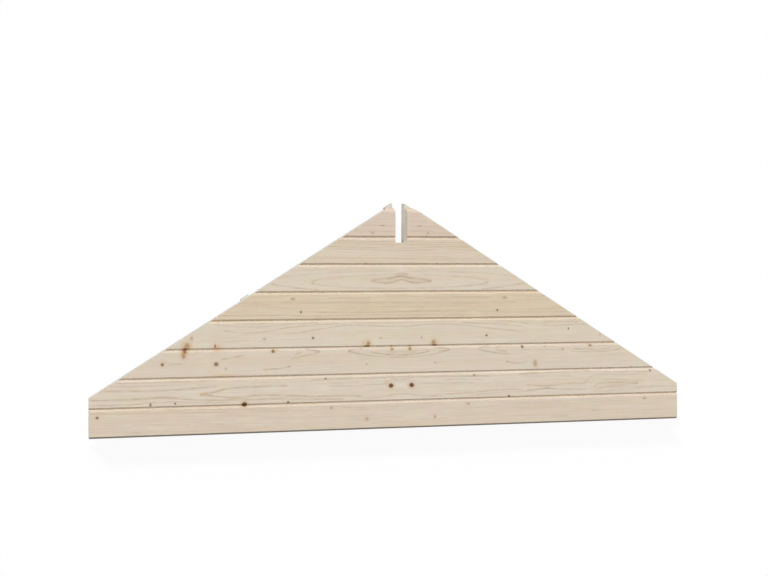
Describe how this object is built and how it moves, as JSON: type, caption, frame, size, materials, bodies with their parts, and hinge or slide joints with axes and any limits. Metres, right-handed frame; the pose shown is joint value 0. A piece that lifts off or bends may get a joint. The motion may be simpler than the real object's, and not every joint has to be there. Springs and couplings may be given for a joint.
{
  "type": "boarded timber gable triangle",
  "caption": "Closed gable triangle of tongue-and-groove timber boards cut to the roof pitch, with a ridge purlin slot at its peak and upright battens on its back.",
  "frame": {"origin": "middle of the panel's box in X and Y, on the plane of the battens' back faces, which the panel lies on", "axes": "+X along the boards to the right as seen from the face, +Y up the gable to its peak, +Z out of the boarded face"},
  "size_m": [2.125, 0.787, 0.08],
  "materials": {
    "board_wood": "planed pale spruce, untreated, with small knots and fine grain",
    "batten_wood": "planed pale spruce batten, untreated",
    "screw_steel": "zinc-plated countersunk screw heads on the backs of the battens"
  },
  "bodies": {
    "root": {"board_1": "board_wood", "board_2": "board_wood", "board_3": "board_wood", "board_4": "board_wood", "board_5": "board_wood", "board_6": "board_wood", "board_7": "board_wood", "top_board_left": "board_wood", "top_board_right": "board_wood", "ridge_batten_left": "batten_wood", "ridge_batten_right": "batten_wood", "quarter_batten_left": "batten_wood", "quarter_batten_right": "batten_wood"}
  },
  "joints": []
}
